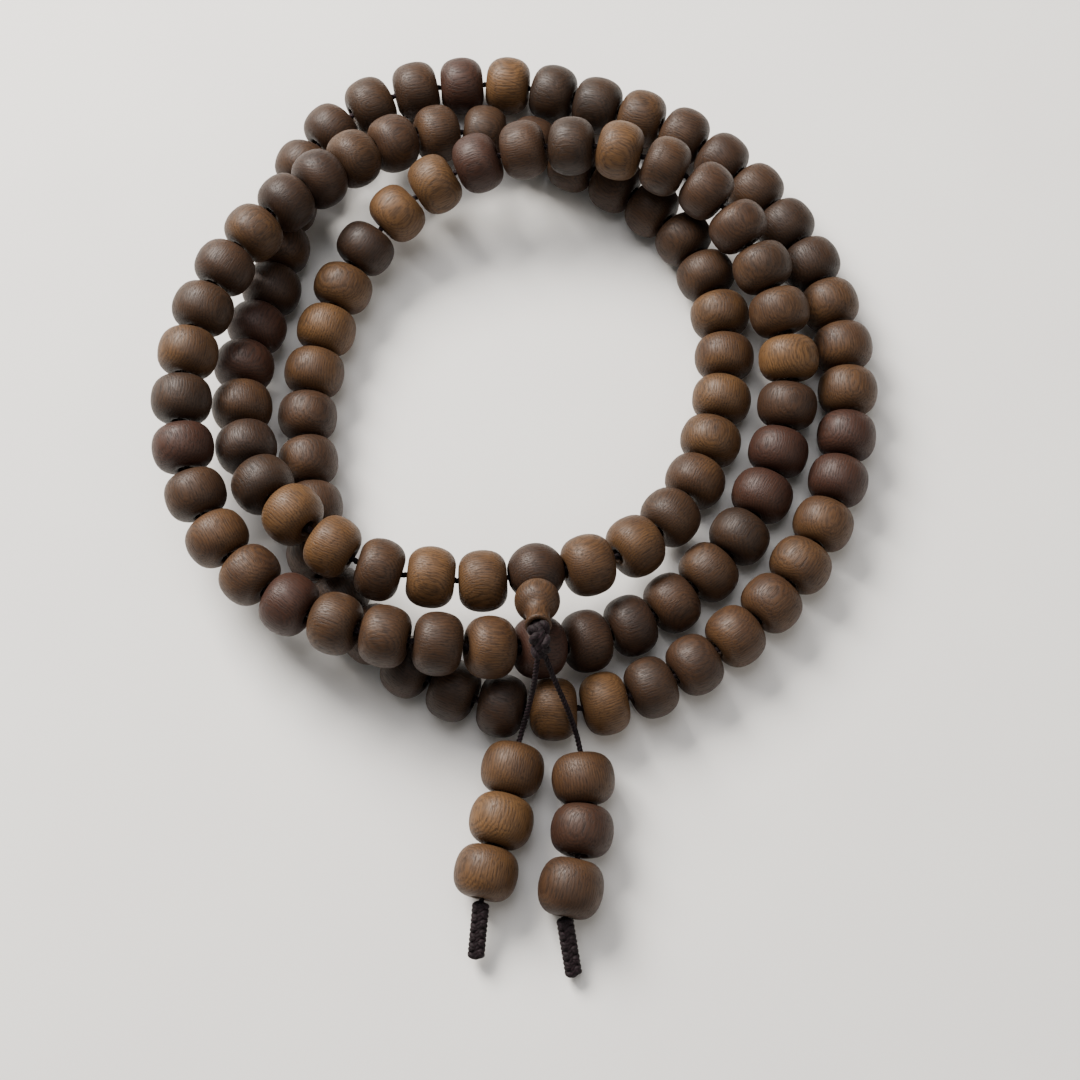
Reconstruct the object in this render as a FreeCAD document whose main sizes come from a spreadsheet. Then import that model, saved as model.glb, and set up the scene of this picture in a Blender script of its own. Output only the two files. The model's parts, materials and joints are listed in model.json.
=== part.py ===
import FreeCAD, Part
import math
import os

import Sketcher
from FreeCAD import Placement, Rotation, Vector

# A string of 108 wooden beads with a three-hole guru bead, laid down in three turns on a flat surface.
# Millimetres, +Z up. The origin is on the surface, at the middle of the footprint of the three turns.

# ---------------------------------------------------------------- driving dimensions
SIZES = (
    ("bead_diameter", 8.0),
    ("bead_length", 5.72),
    ("bead_crown_radius", 4.9),
    ("bead_shoulder_radius", 2.0),
    ("bore_diameter", 2.0),
    ("string_diameter", 0.8),
    ("string_end_gap", 0.4),
    ("guru_diameter", 7.4),
    ("tower_bulb_radius", 2.85),
    ("tower_bulb_arc_radius", 2.65),
    ("tower_bulb_centre_height", 2.35),
    ("tower_bulb_height", 4.35),
    ("tower_neck_arc_radius", 3.2),
    ("tower_tip_radius", 1.65),
    ("tower_height", 7.5),
    ("tower_seat", 3.62),
    ("pendant_cord_offset", 0.42),
    ("pendant_cord_start", 0.7),
    ("pendant_cord_length", 11.3),
    ("knot_middle_radius", 1.3),
    ("knot_end_radius", 1.2),
    ("tail_cord_diameter", 0.75),
    ("end_knot_diameter", 2.2),
    ("end_knot_edge_radius", 0.4),
    ("cord_into_end_knot", 0.5),
)

BEADS = 108
# Every fifth bead is a node of its own that spins; the beads between share a node.
SPINNING = tuple(range(3, 104, 5))

# The cord's route through the beads, by hand: the number of the bead on each bend, and the bend's place.
# Bead 0 is the guru. The first turn is the inner one on the right and the outer one on the left, the
# second lies on it at the top, and the third is the outer one on the right and ends under the second.
FIRST_TURN = (
    (1, 8.6, -27.8, 8.7), (2, 14.7, -24.75, 7.25), (3, 19.3, -20.2, 5.6), (4, 22.7, -14.7, 4.2),
    (6, 26.8, -3.1, 4.0), (8, 27.0, 9.3, 4.0), (10, 22.5, 21.0, 4.0), (12, 13.0, 29.4, 4.0),
    (14, 1.3, 35.3, 4.0), (15, -5.2, 37.0, 4.2), (16, -11.7, 36.3, 5.3), (17, -17.6, 33.9, 6.7),
    (18, -22.7, 30.3, 8.8), (20, -31.1, 22.1, 12.0), (22, -38.9, 12.2, 12.5), (24, -43.0, -0.1, 12.5),
    (26, -43.1, -13.1, 11.8), (28, -38.3, -25.1, 10.5), (30, -28.7, -33.9, 10.5), (32, -16.5, -38.2, 12.1),
    (34, -3.5, -39.0, 10.3),
)
SECOND_TURN = (
    (36, 8.3, -36.95, 4.95), (38, 19.5, -31.5, 4.0), (40, 28.5, -22.4, 4.0), (42, 33.9, -10.6, 4.0),
    (44, 35.7, 1.8, 6.4), (46, 32.3, 14.2, 8.5), (48, 25.1, 24.7, 11.0), (50, 13.2, 29.8, 12.8),
    (52, 0.2, 30.7, 11.3), (54, -11.9, 27.2, 8.2), (56, -21.5, 18.9, 5.2), (58, -26.2, 7.1, 4.0),
    (60, -28.4, -5.4, 4.0), (62, -26.8, -18.1, 4.0), (63, -26.3, -24.6, 4.0), (64, -23.1, -30.4, 4.0),
    (66, -14.2, -40.0, 4.0), (68, -2.4, -45.1, 4.0),
)
THIRD_TURN = (
    (70, 10.7, -44.8, 4.0), (72, 22.1, -39.5, 4.0), (74, 32.2, -31.4, 4.0), (76, 39.3, -20.6, 4.0),
    (78, 42.9, -8.3, 4.0), (80, 43.1, 4.6, 4.0), (82, 39.4, 17.0, 4.0), (84, 32.2, 27.9, 4.4),
    (86, 22.5, 36.4, 5.0), (88, 10.5, 41.2, 4.5), (90, -1.9, 45.1, 4.0), (92, -14.8, 44.0, 4.0),
    (93, -21.1, 41.5, 4.0), (94, -26.5, 37.4, 4.0), (95, -30.1, 31.8, 4.0), (96, -31.9, 25.5, 4.0),
    (98, -33.2, 12.9, 4.0), (100, -36.9, 0.9, 6.0), (102, -35.3, -11.7, 8.4), (103, -32.7, -17.5, 10.1),
    (104, -28.4, -22.0, 11.9), (105, -23.3, -26.4, 12.0), (106, -17.5, -29.1, 10.6), (108, -4.6, -30.2, 9.5),
)
STRING_BENDS = FIRST_TURN + SECOND_TURN + THIRD_TURN
GURU_CENTRE = Vector(2.0, -28.8, 9.5)
TOWER_TIP = Vector(2.3, -37.85, 15.98)  # the tower bead points from the guru's centre at this point

# The neck knot's three lumps lie on the bead in front of the tower.
KNOT_LUMPS = (Vector(2.32, -38.62, 16.5), Vector(2.45, -39.5, 16.4), Vector(2.6, -40.25, 15.75))

# Each tail leaves the last lump, comes down between the outer beads and lies on the surface.
TAIL_ROUTES = {
    "left": (
        (2.22, -41.0, 14.8), (1.95, -43.1, 12.0), (1.1, -45.9, 8.2), (0.0, -48.6, 4.3),
        (-0.9, -52.6, 4.0), (-2.15, -59.0, 4.0), (-4.1, -65.3, 4.0), (-4.65, -69.1, 3.5),
    ),
    "right": (
        (3.04, -41.05, 14.85), (4.1, -43.2, 12.2), (6.0, -46.4, 8.7), (7.4, -49.5, 4.3),
        (7.9, -53.8, 4.0), (7.8, -60.2, 4.0), (6.2, -67.2, 4.0), (5.5, -71.0, 3.4),
    ),
}
COUNTER_BENDS = (4, 5, 6)  # the bends of a tail's route that carry a counter bead
END_KNOT_TIPS = {"left": Vector(-5.4, -75.3, 1.2), "right": Vector(6.1, -77.6, 1.2)}

doc = FreeCAD.newDocument("mala")
sheet = doc.addObject("Spreadsheet::Sheet", "sizes")
for row, (alias, value) in enumerate(SIZES, start=1):
    sheet.set("A%d" % row, alias.replace("_", " "))
    sheet.set("B%d" % row, str(value))
    sheet.setAlias("B%d" % row, alias)
doc.recompute()


def size(alias):
    """A driving dimension, read from the sheet."""
    return float(sheet.get(alias))


# ---------------------------------------------------------------- routes of cords
def cord_edges(points):
    """Straight runs joined by tangent arcs, the edges in order, and the number of each bend's arc."""
    points = [Vector(*p) for p in points]
    edges, arcs, radii = [], [], []
    here = points[0]
    for before, bend, after in zip(points, points[1:], points[2:]):
        towards = (bend - before).normalize()
        away = (after - bend).normalize()
        cut = 0.45 * min(before.distanceToPoint(bend), bend.distanceToPoint(after))
        half_turn = towards.getAngle(away) / 2
        radius = cut / math.tan(half_turn)
        start, end = bend - towards * cut, bend + away * cut
        inward = (away - towards).normalize()
        middle = bend + inward * (radius / math.cos(half_turn) - radius)
        edges.append(Part.LineSegment(here, start).toShape())
        arcs.append(len(edges))
        edges.append(Part.Arc(start, middle, end).toShape())
        radii.append(radius)
        here = end
    edges.append(Part.LineSegment(here, points[-1]).toShape())
    return edges, arcs, radii


def at_length(edges, length):
    """The point and the direction at a length along the edges."""
    for edge in edges:
        if length <= edge.Length:
            break
        length -= edge.Length
    where = edge.getParameterByLength(min(length, edge.Length))
    return edge.valueAt(where), edge.tangentAt(where)


def bend_length(edges, arc):
    """The length along the edges at the middle of an arc."""
    return sum(edge.Length for edge in edges[:arc]) + edges[arc].Length / 2


def cord_tube(name, points, diameter):
    """A round tube along the route, as an object of its own."""
    edges, _, radii = cord_edges(points)
    start, direction = edges[0].valueAt(edges[0].FirstParameter), edges[0].tangentAt(edges[0].FirstParameter)
    section = Part.Wire([Part.Circle(start, direction, diameter / 2).toShape()])
    tube = Part.Wire(edges).makePipeShell([section], True, False)
    length = sum(edge.Length for edge in edges)
    expected = length * math.pi * diameter**2 / 4
    print("%s: length %.1f, volume %.2f of %.2f, radii %s" % (
        name, length, tube.Volume, expected, ", ".join("%.1f" % r for r in radii)))
    if abs(tube.Volume - expected) > 0.02 * expected:
        raise ValueError(name + " has the wrong volume")
    cord = doc.addObject("Part::Feature", name)
    cord.Shape = tube
    return cord


def threaded(point, direction):
    """The placement of a piece whose bore, its own Z, lies along the cord."""
    return Placement(point, Rotation(Vector(0, 0, 1), direction))


def bound(thing, **expressions):
    """Binds properties of an object to cells of the sheet."""
    for name, expression in expressions.items():
        thing.setExpression(name, expression)


# ---------------------------------------------------------------- turned pieces
def turning_sketch(body):
    """An empty sketch on the body's XZ plane, where the sketch's vertical axis is the bore."""
    sketch = body.newObject("Sketcher::SketchObject", body.Name + "_outline")
    plane = [f for f in body.Origin.OriginFeatures if f.Role == "XZ_Plane"][0]
    sketch.AttachmentSupport = (plane, [""])
    sketch.MapMode = "FlatFace"
    return sketch


def hold(sketch, kind, where, value, name, expression):
    """A dimension of the sketch that follows a cell of the sheet."""
    number = sketch.addConstraint(Sketcher.Constraint(kind, *where, value))
    sketch.renameConstraint(number, name)
    sketch.setExpression("Constraints." + name, expression)


def join(sketch, pairs):
    for first, first_point, second, second_point in pairs:
        sketch.addConstraint(Sketcher.Constraint("Coincident", first, first_point, second, second_point))


def turned(body, sketch):
    """The body turned from its sketch on a lathe."""
    lathe = body.newObject("PartDesign::Revolution", body.Name + "_turned")
    lathe.Profile = sketch
    lathe.ReferenceAxis = (sketch, ["V_Axis"])
    lathe.Angle = 360.0
    doc.recompute()
    return lathe


def bead_blank():
    """The bead that every bead is a copy of: crowned side, rounded shoulders, flat ends and a bore."""
    half, radius, crown = size("bead_length") / 2, size("bead_diameter") / 2, size("bead_crown_radius")
    bore = size("bore_diameter") / 2
    edge = radius - crown + math.sqrt(crown**2 - half**2)
    angle = math.asin(half / crown)
    body = doc.addObject("PartDesign::Body", "bead_blank")
    sketch = turning_sketch(body)
    side = Part.Circle(Vector(radius - crown, 0, 0), Vector(0, 0, 1), crown)
    sketch.addGeometry([
        Part.LineSegment(Vector(bore, -half, 0), Vector(edge, -half, 0)),
        Part.ArcOfCircle(side, -angle, angle),
        Part.LineSegment(Vector(edge, half, 0), Vector(bore, half, 0)),
        Part.LineSegment(Vector(bore, half, 0), Vector(bore, -half, 0)),
    ])
    join(sketch, [(0, 2, 1, 1), (1, 2, 2, 1), (2, 2, 3, 1), (3, 2, 0, 1)])
    sketch.addConstraint([
        Sketcher.Constraint("Horizontal", 0),
        Sketcher.Constraint("Horizontal", 2),
        Sketcher.Constraint("Vertical", 3),
        Sketcher.Constraint("PointOnObject", 1, 3, -1),
    ])
    hold(sketch, "DistanceX", (-1, 1, 3, 1), bore, "bore_radius", "sizes.bore_diameter / 2")
    hold(sketch, "DistanceY", (3, 2, 3, 1), 2 * half, "length", "sizes.bead_length")
    hold(sketch, "DistanceY", (-1, 1, 3, 1), half, "half_length", "sizes.bead_length / 2")
    hold(sketch, "Radius", (1,), crown, "crown", "sizes.bead_crown_radius")
    hold(sketch, "DistanceX", (1, 3, -1, 1), crown - radius, "crown_centre",
         "sizes.bead_crown_radius - sizes.bead_diameter / 2")
    lathe = turned(body, sketch)
    shoulders = [
        "Edge%d" % number
        for number, rim in enumerate(lathe.Shape.Edges, start=1)
        if rim.BoundBox.XLength > 1.8 * edge and abs(abs(rim.CenterOfMass.z) - half) < 0.01
    ]
    rounding = body.newObject("PartDesign::Fillet", "bead_shoulders")
    rounding.Base = (lathe, shoulders)
    bound(rounding, Radius="sizes.bead_shoulder_radius")
    doc.recompute()
    body.Tip = rounding
    return body


def tower_bead():
    """The bottle-shaped bead on the guru's third hole: a bulb, a waisted neck and a bore for two cords."""
    bulb, arc = size("tower_bulb_radius"), size("tower_bulb_arc_radius")
    middle, top = size("tower_bulb_centre_height"), size("tower_bulb_height")
    neck_arc, tip, height = size("tower_neck_arc_radius"), size("tower_tip_radius"), size("tower_height")
    bore = size("bore_diameter") / 2
    body = doc.addObject("PartDesign::Body", "tower_bead")
    sketch = turning_sketch(body)
    centre = Vector(bulb - arc, middle, 0)
    shoulder = Vector(centre.x + math.sqrt(arc**2 - (top - middle) ** 2), top, 0)
    foot = Vector(centre.x + math.sqrt(arc**2 - middle**2), 0, 0)
    end = Vector(tip, height, 0)
    chord = end - shoulder
    waist = (shoulder + end) * 0.5 + Vector(-chord.y, chord.x, 0).normalize() * (
        neck_arc - math.sqrt(neck_arc**2 - chord.Length**2 / 4))
    sketch.addGeometry([
        Part.LineSegment(Vector(bore, 0, 0), foot),
        Part.Arc(foot, centre + Vector(arc, 0, 0), shoulder),
        Part.Arc(end, waist, shoulder),
        Part.LineSegment(end, Vector(bore, height, 0)),
        Part.LineSegment(Vector(bore, height, 0), Vector(bore, 0, 0)),
    ])
    join(sketch, [(0, 2, 1, 1), (3, 2, 4, 1), (4, 2, 0, 1)])
    neck_tip, neck_foot = nearest_ends(sketch.Geometry[2], end)
    join(sketch, [(1, 2, 2, neck_foot), (2, neck_tip, 3, 1)])
    sketch.addConstraint([
        Sketcher.Constraint("PointOnObject", 0, 1, -1),
        Sketcher.Constraint("Horizontal", 0),
        Sketcher.Constraint("Horizontal", 3),
        Sketcher.Constraint("Vertical", 4),
    ])
    hold(sketch, "DistanceX", (-1, 1, 0, 1), bore, "bore_radius", "sizes.bore_diameter / 2")
    hold(sketch, "Radius", (1,), arc, "bulb_arc", "sizes.tower_bulb_arc_radius")
    hold(sketch, "DistanceY", (-1, 1, 1, 3), middle, "bulb_middle", "sizes.tower_bulb_centre_height")
    hold(sketch, "DistanceX", (-1, 1, 1, 3), bulb - arc, "bulb_centre",
         "sizes.tower_bulb_radius - sizes.tower_bulb_arc_radius")
    hold(sketch, "DistanceY", (-1, 1, 1, 2), top, "bulb_height", "sizes.tower_bulb_height")
    hold(sketch, "Radius", (2,), neck_arc, "neck_arc", "sizes.tower_neck_arc_radius")
    hold(sketch, "DistanceX", (-1, 1, 3, 1), tip, "tip_radius", "sizes.tower_tip_radius")
    hold(sketch, "DistanceY", (-1, 1, 3, 1), height, "height", "sizes.tower_height")
    turned(body, sketch)
    return body


def nearest_ends(arc, point):
    """Which end of a sketched arc is at the point, and which is the other: 1 is its start, 2 its end."""
    at_start = arc.StartPoint.distanceToPoint(point) < arc.EndPoint.distanceToPoint(point)
    return (1, 2) if at_start else (2, 1)


# ---------------------------------------------------------------- the pieces
def place_round(kind, name, **expressions):
    """A Part primitive with its sizes bound to the sheet."""
    thing = doc.addObject(kind, name)
    bound(thing, **expressions)
    return thing


def guru_bead(along_string, up_tower):
    """The round bead with a bore along the string and a third hole into it from the tower's side."""
    ball = place_round("Part::Sphere", "guru_ball", Radius="sizes.guru_diameter / 2")
    cross = place_round("Part::Cylinder", "guru_bore", Radius="sizes.bore_diameter / 2",
                        Height="sizes.guru_diameter + 2")
    cross.Placement = Placement(Vector(0, 0, -size("guru_diameter") / 2 - 1), Rotation())
    third = place_round("Part::Cylinder", "guru_third_hole", Radius="sizes.bore_diameter / 2",
                        Height="sizes.guru_diameter")
    frame = Rotation(Vector(0, 0, 1), along_string)
    third.Placement = Placement(Vector(), Rotation(Vector(0, 0, 1), frame.inverted().multVec(up_tower)))
    holes = doc.addObject("Part::Fuse", "guru_holes")
    holes.Base, holes.Tool = cross, third
    guru = doc.addObject("Part::Cut", "guru_bead")
    guru.Base, guru.Tool = ball, holes
    guru.Placement = Placement(GURU_CENTRE, frame)
    return guru


def pendant_cords(up_tower):
    """The two ends of the main cord, side by side in the guru's third hole and the tower bead."""
    sideways = up_tower.cross(Vector(0, 0, 1)).normalize()
    cords = []
    for name, side in (("pendant_cord_a", 1), ("pendant_cord_b", -1)):
        cord = place_round("Part::Cylinder", name, Radius="sizes.string_diameter / 2",
                           Height="sizes.pendant_cord_length")
        start = GURU_CENTRE + up_tower * size("pendant_cord_start")
        cord.Placement = threaded(start + sideways * side * size("pendant_cord_offset"), up_tower)
        cords.append(cord)
    pair = doc.addObject("Part::Compound", "pendant_cords")
    pair.Links = cords
    return pair


def neck_knot():
    """The braided knot above the tower bead, as three lumps grown together."""
    lumps = []
    for number, (centre, alias) in enumerate(
            zip(KNOT_LUMPS, ("knot_end_radius", "knot_middle_radius", "knot_end_radius")), start=1):
        lump = place_round("Part::Sphere", "knot_lump_%d" % number, Radius="sizes." + alias)
        lump.Placement = Placement(centre, Rotation())
        lumps.append(lump)
    knot = doc.addObject("Part::MultiFuse", "neck_knot")
    knot.Shapes = lumps
    return knot


def end_knot(side):
    """The wrapped knot that closes a tail: it starts on the cord and its tip rests on the surface."""
    last = Vector(*TAIL_ROUTES[side][-1])
    along = (END_KNOT_TIPS[side] - last).normalize()
    start = last - along * size("cord_into_end_knot")
    roll = place_round("Part::Cylinder", "end_knot_roll_" + side, Radius="sizes.end_knot_diameter / 2")
    roll.Height = start.distanceToPoint(END_KNOT_TIPS[side])
    roll.Placement = threaded(start, along)
    doc.recompute()
    knot = doc.addObject("Part::Fillet", "end_knot_" + side)
    knot.Base = roll
    edge_radius = size("end_knot_edge_radius")
    knot.Edges = [
        (number, edge_radius, edge_radius)
        for number, rim in enumerate(roll.Shape.Edges, start=1)
        if rim.Closed and rim.Length > 0.9 * math.pi * size("end_knot_diameter")
    ]
    return knot


def bead_on(name, blank, place):
    """One bead, or several as separate solids, threaded at the given places."""
    bead = doc.addObject("Part::Feature", name)
    if len(place) == 1:
        bead.Shape = blank.Shape
        bead.Placement = place[0]
    else:
        copies = []
        for where in place:
            copy = blank.Shape.copy()
            copy.Placement = where
            copies.append(copy)
        bead.Shape = Part.makeCompound(copies)
    return bead


def string_places(edges, arcs):
    """The placement of every bead on the main cord: on its bends, and evenly spaced between them."""
    numbers = [bend[0] for bend in STRING_BENDS]
    lengths = [bend_length(edges, arc) for arc in arcs]
    places = {}
    for (low, low_length), (high, high_length) in zip(
            zip(numbers, lengths), zip(numbers[1:], lengths[1:])):
        for number in range(low, high + 1):
            share = (number - low) / (high - low)
            places[number] = threaded(*at_length(edges, low_length + share * (high_length - low_length)))
    return places


def bead_groups():
    """The runs of beads between the spinning ones."""
    groups, run = [], []
    for number in range(1, BEADS + 1):
        if number in SPINNING:
            groups.append(run)
            run = []
        else:
            run.append(number)
    groups.append(run)
    return groups


blank = bead_blank()
pieces = []

# The main cord starts and ends just beside the guru's centre, where its ends turn into the third hole.
first, last = Vector(*STRING_BENDS[0][1:]), Vector(*STRING_BENDS[-1][1:])
leaving, arriving = (first - GURU_CENTRE).normalize(), (GURU_CENTRE - last).normalize()
gap = size("string_end_gap")
string_route = [tuple(GURU_CENTRE + leaving * gap)]
string_route += [bend[1:] for bend in STRING_BENDS]
string_route.append(tuple(GURU_CENTRE - arriving * gap))
pieces.append(cord_tube("main_string", string_route, size("string_diameter")))

string_edges, string_arcs, _ = cord_edges(string_route)
BEAD_PLACES = string_places(string_edges, string_arcs)
for number in SPINNING:
    pieces.append(bead_on("bead_%d" % number, blank, [BEAD_PLACES[number]]))
for group in bead_groups():
    name = "beads_%d_to_%d" % (group[0], group[-1])
    pieces.append(bead_on(name, blank, [BEAD_PLACES[number] for number in group]))

STRING_AT_GURU = (leaving + arriving).normalize()
TOWER_AXIS = (TOWER_TIP - GURU_CENTRE).normalize()
pieces.append(guru_bead(STRING_AT_GURU, TOWER_AXIS))
tower = tower_bead()
tower.Placement = threaded(GURU_CENTRE + TOWER_AXIS * size("tower_seat"), TOWER_AXIS)
pieces.append(tower)
pieces.append(pendant_cords(TOWER_AXIS))
pieces.append(neck_knot())

COUNTER_PLACES = {}
for side, route in TAIL_ROUTES.items():
    pieces.append(cord_tube("tail_cord_" + side, route, size("tail_cord_diameter")))
    tail_edges, tail_arcs, _ = cord_edges(route)
    for number, bend in enumerate(COUNTER_BENDS, start=1):
        place = threaded(*at_length(tail_edges, bend_length(tail_edges, tail_arcs[bend - 1])))
        COUNTER_PLACES[side, number] = place
        pieces.append(bead_on("counter_%s_%d" % (side, number), blank, [place]))
    pieces.append(end_knot(side))

# ---------------------------------------------------------------- checks and export
doc.recompute()
for thing in doc.Objects:
    if "Invalid" in thing.State or "Error" in thing.State:
        raise ValueError("%s failed: %s" % (thing.Name, thing.State))
for piece in pieces:
    if piece.Shape.isNull() or not piece.Shape.isValid():
        raise ValueError(piece.Name + " has no valid shape")

os.makedirs("parts", exist_ok=True)
for piece in pieces:
    piece.Label = piece.Name
    piece.Shape.exportStep(os.path.join("parts", piece.Label + ".step"))
print("%d pieces written" % len(pieces))
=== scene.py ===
import json
import math
import random

import bmesh
import bpy
import numpy as np
from bpy.props import FloatProperty, FloatVectorProperty, IntProperty, PointerProperty
from mathutils import Matrix, Vector

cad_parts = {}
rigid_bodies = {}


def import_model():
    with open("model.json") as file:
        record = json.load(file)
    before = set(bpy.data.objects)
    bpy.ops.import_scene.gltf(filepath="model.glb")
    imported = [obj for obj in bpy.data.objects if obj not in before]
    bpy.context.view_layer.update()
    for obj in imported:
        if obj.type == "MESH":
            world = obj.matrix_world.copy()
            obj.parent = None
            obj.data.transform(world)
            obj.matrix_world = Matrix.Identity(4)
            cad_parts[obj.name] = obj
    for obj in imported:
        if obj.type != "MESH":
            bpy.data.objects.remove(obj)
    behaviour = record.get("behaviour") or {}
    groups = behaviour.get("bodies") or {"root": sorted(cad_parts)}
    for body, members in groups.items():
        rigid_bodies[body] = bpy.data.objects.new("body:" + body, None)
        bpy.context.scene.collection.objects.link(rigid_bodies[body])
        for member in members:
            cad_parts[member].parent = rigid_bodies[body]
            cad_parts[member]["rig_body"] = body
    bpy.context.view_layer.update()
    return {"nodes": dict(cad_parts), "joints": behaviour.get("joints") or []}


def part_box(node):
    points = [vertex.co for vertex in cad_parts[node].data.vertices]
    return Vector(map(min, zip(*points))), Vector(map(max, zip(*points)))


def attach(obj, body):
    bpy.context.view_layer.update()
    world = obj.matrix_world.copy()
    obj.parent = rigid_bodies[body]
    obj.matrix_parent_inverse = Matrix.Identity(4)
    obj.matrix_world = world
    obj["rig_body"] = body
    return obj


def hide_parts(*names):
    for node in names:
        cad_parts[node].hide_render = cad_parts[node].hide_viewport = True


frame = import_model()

bl_info = {
    "name": "Mala prayer beads",
    "version": (1, 0, 0),
    "blender": (4, 5, 0),
    "location": "View3D > Sidebar > Mala",
    "description": "Turned wooden beads, knots and tails around the packed model of a mala",
    "category": "Add Mesh",
}

MM = 0.001
MM_IN_M = 1000.0
NODES = frame["nodes"]
GURU = sum(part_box("guru_bead"), Vector()) / 2
JOINTS = {joint["name"]: joint for joint in frame["joints"]}
TOWER_AXIS = Vector(JOINTS["tower_spin"]["axis"])
STRING_AT_GURU = -Vector(JOINTS["guru_swing"]["axis"])
BEAD_COUNT = 108
SIDES = ("left", "right")

# Half of the straight run that the string has in each bead.
STRING_IN_BEAD = 2.2 * MM
# How far beside the guru's centre the main string starts and ends.
STRING_END_GAP = 0.5 * MM
# The string's two ends in the tower bead: their distance from its axis, and where they start and end on it.
PENDANT_CORD_OFFSET = 0.42 * MM
PENDANT_CORD_RUN = (0.7 * MM, 11.9 * MM)
# The neck knot starts just inside the tower's lip, goes by these places in millimetres, and ends at the tails.
NECK_KNOT_START = 10.95 * MM
NECK_KNOT_BENDS = ((2.31, -38.15, 16.15), (2.38, -38.95, 16.6), (2.48, -39.8, 16.35), (2.58, -40.55, 15.6))
# A bead is as long as its room on the string, but no shorter or longer than these, and leaves this gap.
BEAD_LENGTHS = (5.6 * MM, 6.75 * MM)
BEAD_GAP = 0.07 * MM
COUNTER_GAP = 0.18 * MM
# Twice the distance from the bore at which two beads' ends meet on the inside of a bend.
BEAD_END_WIDTH = 4.2 * MM

# Beads that stand out from the usual brown, by their place on the string.
GOLDEN = (44, 50, 54, 55, 58, 69, 70, 90, 104, 105, 107)
WARM = (1, 2, 4, 5, 6, 7, 8, 21, 24, 28, 29, 34, 45, 57, 59, 73, 74, 75, 76, 79, 80, 81, 87, 108)
SMOKY = (19, 20, 25, 36, 37, 40, 51, 56, 66, 67, 68, 82, 83, 88, 89, 98, 102, 103)
REDDISH = (26, 30, 35, 41, 42, 53, 77, 78, 91, 99, 100)
# The tone and the redness of each counter bead, from the knot outwards.
COUNTER_TONES = {
    "left": ((0.6, 0.1), (0.8, 0.0), (0.66, 0.1)),
    "right": ((0.5, 0.2), (0.34, 0.6), (0.4, 0.1)),
}

# The tails' routes in millimetres, from the knot to the wrapped ends.
TAIL_ROUTES = {
    "left": (
        (2.22, -41.0, 14.8), (1.95, -43.1, 12.0), (1.1, -45.9, 8.2), (0.0, -48.6, 4.3),
        (-0.9, -52.6, 4.0), (-2.15, -59.0, 4.0), (-4.1, -65.3, 4.0), (-4.65, -69.1, 3.5),
    ),
    "right": (
        (3.04, -41.05, 14.85), (4.1, -43.2, 12.2), (6.0, -46.4, 8.7), (7.4, -49.5, 4.3),
        (7.9, -53.8, 4.0), (7.8, -60.2, 4.0), (6.2, -67.2, 4.0), (5.5, -71.0, 3.4),
    ),
}
# How light the wood is from the late-wood line (0) to the middle of a growth ring (1).
RING_STOPS = ((0.0, 0.0), (0.22, 0.35), (0.6, 0.85), (1.0, 1.0))
# The tower bead's waisted neck, as its radius at each height above its base, in millimetres.
TOWER_NECK = ((1.76, 4.54), (1.6, 4.9), (1.49, 5.3), (1.44, 5.7), (1.44, 6.1), (1.48, 6.45), (1.56, 6.75))
CAMERA_PLACE = Vector((2.5, -108.02, 245.22)) * MM
CAMERA_AIM = Vector((2.5, -22.6, 4.0)) * MM
FLOOR_REACH = 4.0


def linear(hexes):
    """A colour in sRGB hex, such as "#5a3a26", as the linear RGBA that Blender mixes."""
    channels = [int(hexes[i:i + 2], 16) / 255 for i in (1, 3, 5)]
    return tuple(c / 12.92 if c <= 0.04045 else ((c + 0.055) / 1.055) ** 2.4 for c in channels) + (1.0,)


# ---------------------------------------------------------------- nodes
def add(tree, kind, inputs=None, **settings):
    """Adds a node with its settings; inputs maps a socket's name or number to a value or an output."""
    made = tree.nodes.new(kind)
    for name, value in settings.items():
        setattr(made, name, value)
    for name, value in (inputs or {}).items():
        if isinstance(value, bpy.types.NodeSocket):
            tree.links.new(value, made.inputs[name])
        else:
            made.inputs[name].default_value = value
    return made


def math_node(tree, operation, *values):
    """A Math node's result."""
    return add(tree, "ShaderNodeMath", dict(enumerate(values)), operation=operation).outputs[0]


def scaled(tree, vector, x, y, z):
    """A vector with each of its parts multiplied."""
    return add(tree, "ShaderNodeVectorMath", {0: vector, 1: (x, y, z)}, operation="MULTIPLY").outputs[0]


def noise(tree, vector, scale, detail, roughness=0.5):
    """A noise texture's value, from 0 to 1."""
    return add(tree, "ShaderNodeTexNoise", {
        "Vector": vector, "Scale": scale, "Detail": detail, "Roughness": roughness}).outputs["Fac"]


def swayed(tree, value, by, amount):
    """A value moved up and down by a noise."""
    return math_node(tree, "MULTIPLY_ADD", math_node(tree, "SUBTRACT", by, 0.5), amount, value)


def drawn_from(tree, seed, factor):
    """Another number from 0 to 1 for each seed."""
    return math_node(tree, "FRACT", math_node(tree, "MULTIPLY", seed, factor))


def ramp(tree, factor, stops):
    """A colour ramp; stops are (position, colour in hex or a grey number)."""
    made = add(tree, "ShaderNodeValToRGB", {"Fac": factor})
    while len(made.color_ramp.elements) < len(stops):
        made.color_ramp.elements.new(0.5)
    for element, (place, colour) in zip(made.color_ramp.elements, stops):
        element.position = place
        element.color = linear(colour) if isinstance(colour, str) else (colour, colour, colour, 1.0)
    return made.outputs["Color"]


def new_material(name):
    material = bpy.data.materials.new(name)
    material.use_nodes = True
    tree = material.node_tree
    shader = tree.nodes["Principled BSDF"]
    return material, tree, shader


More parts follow.
